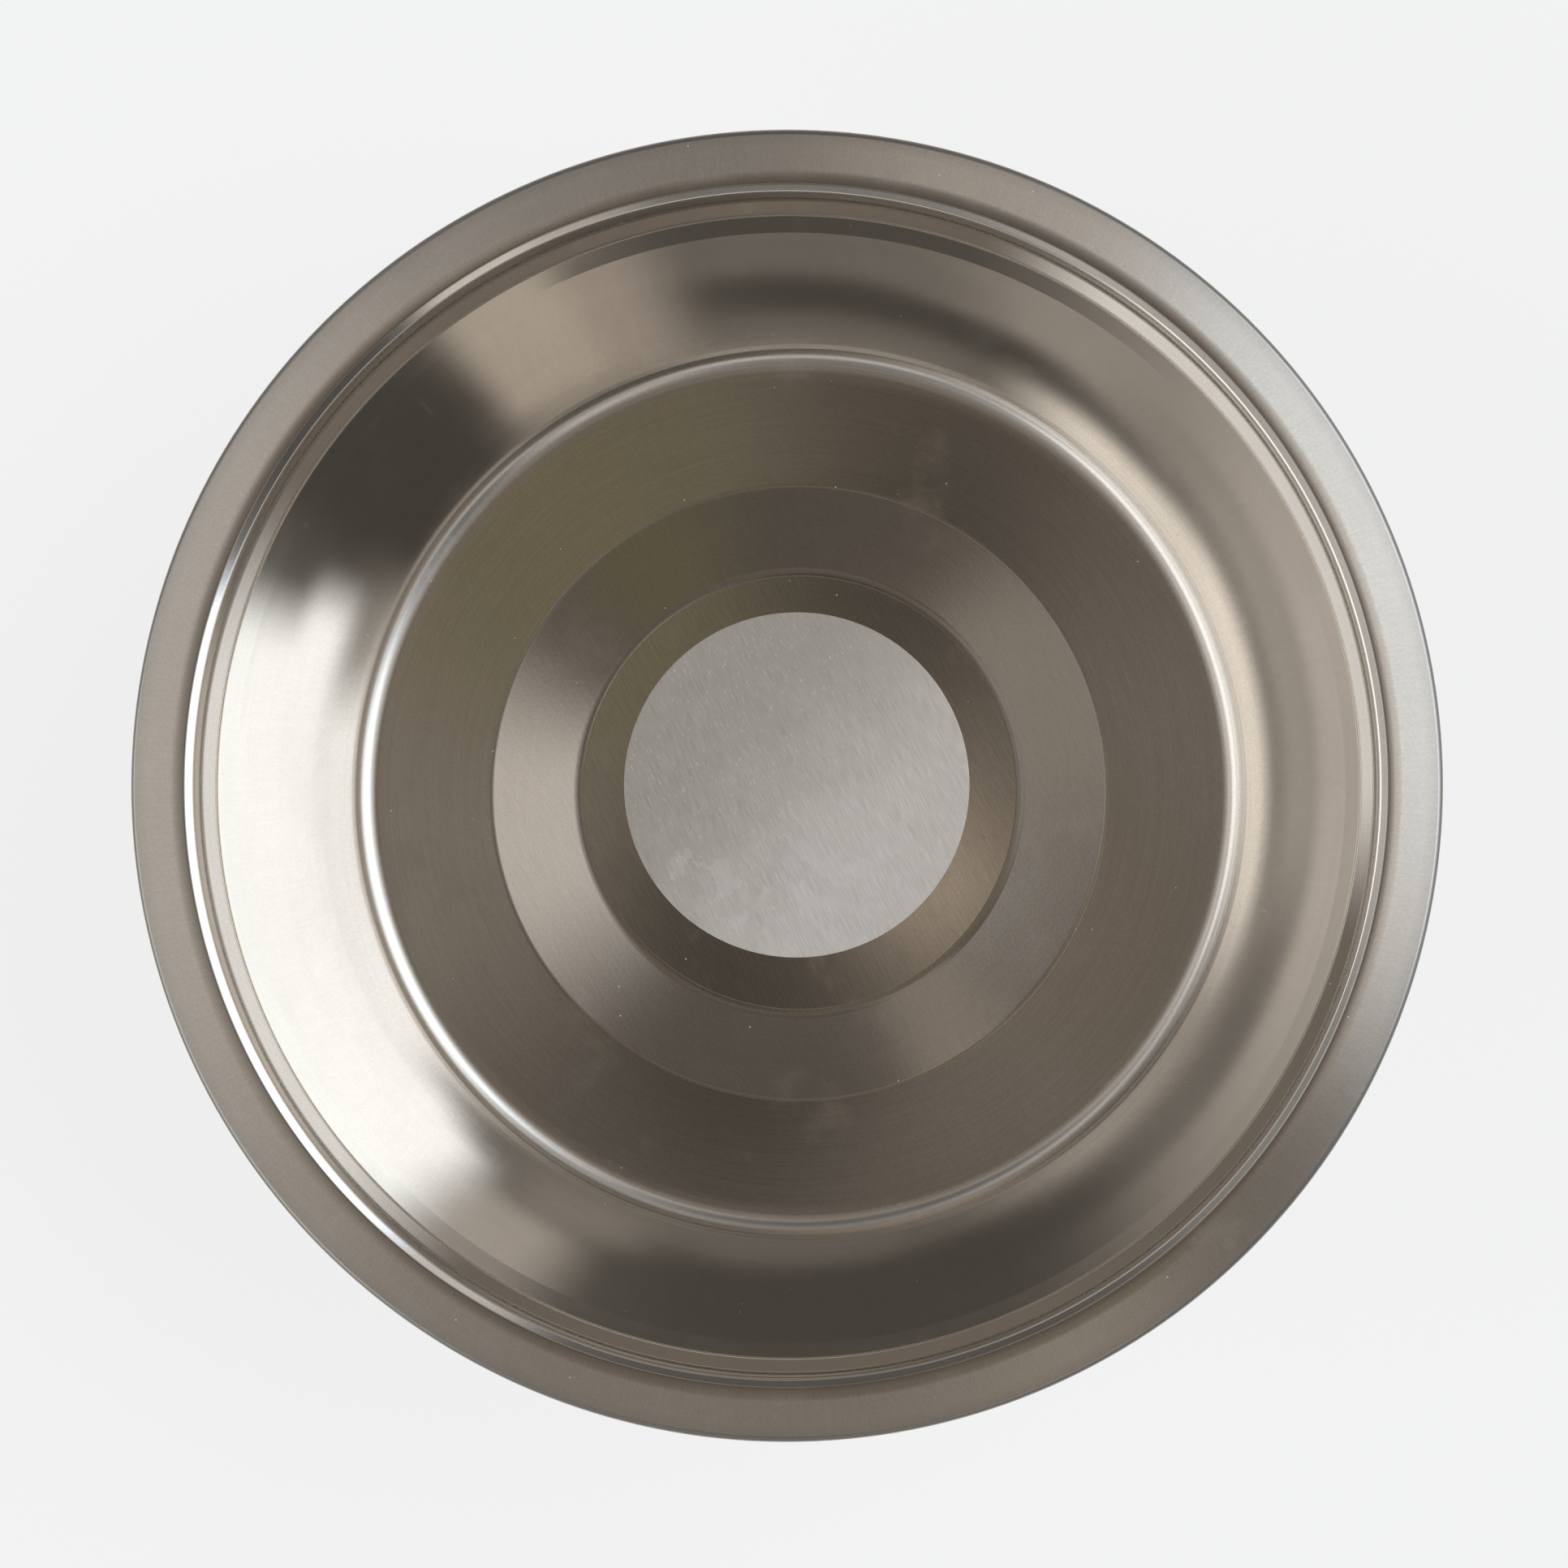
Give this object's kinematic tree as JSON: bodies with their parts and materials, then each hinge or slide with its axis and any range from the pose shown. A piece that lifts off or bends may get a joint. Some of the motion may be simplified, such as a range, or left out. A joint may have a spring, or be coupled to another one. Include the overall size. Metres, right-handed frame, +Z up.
{
  "type": "pet bowl",
  "caption": "Round deep-drawn stainless pet bowl with a broad brim, stacking ledge, sloping wall and a sunk flat centre that carries a plain round foil label.",
  "frame": {"origin": "centre of the foot, on the surface that the bowl stands on", "axes": "+Z up along the bowl's axis, towards its mouth; the bowl is round, so X and Y have no preferred side"},
  "size_m": [0.16, 0.16, 0.05],
  "materials": {
    "stainless": "polished inside, satin brim",
    "adhesive": "clear tacky film",
    "foil": "matt brushed foil, unprinted"
  },
  "bodies": {
    "root": {"bowl_shell": "stainless", "label_adhesive": "adhesive", "label_foil": "foil"}
  },
  "joints": []
}
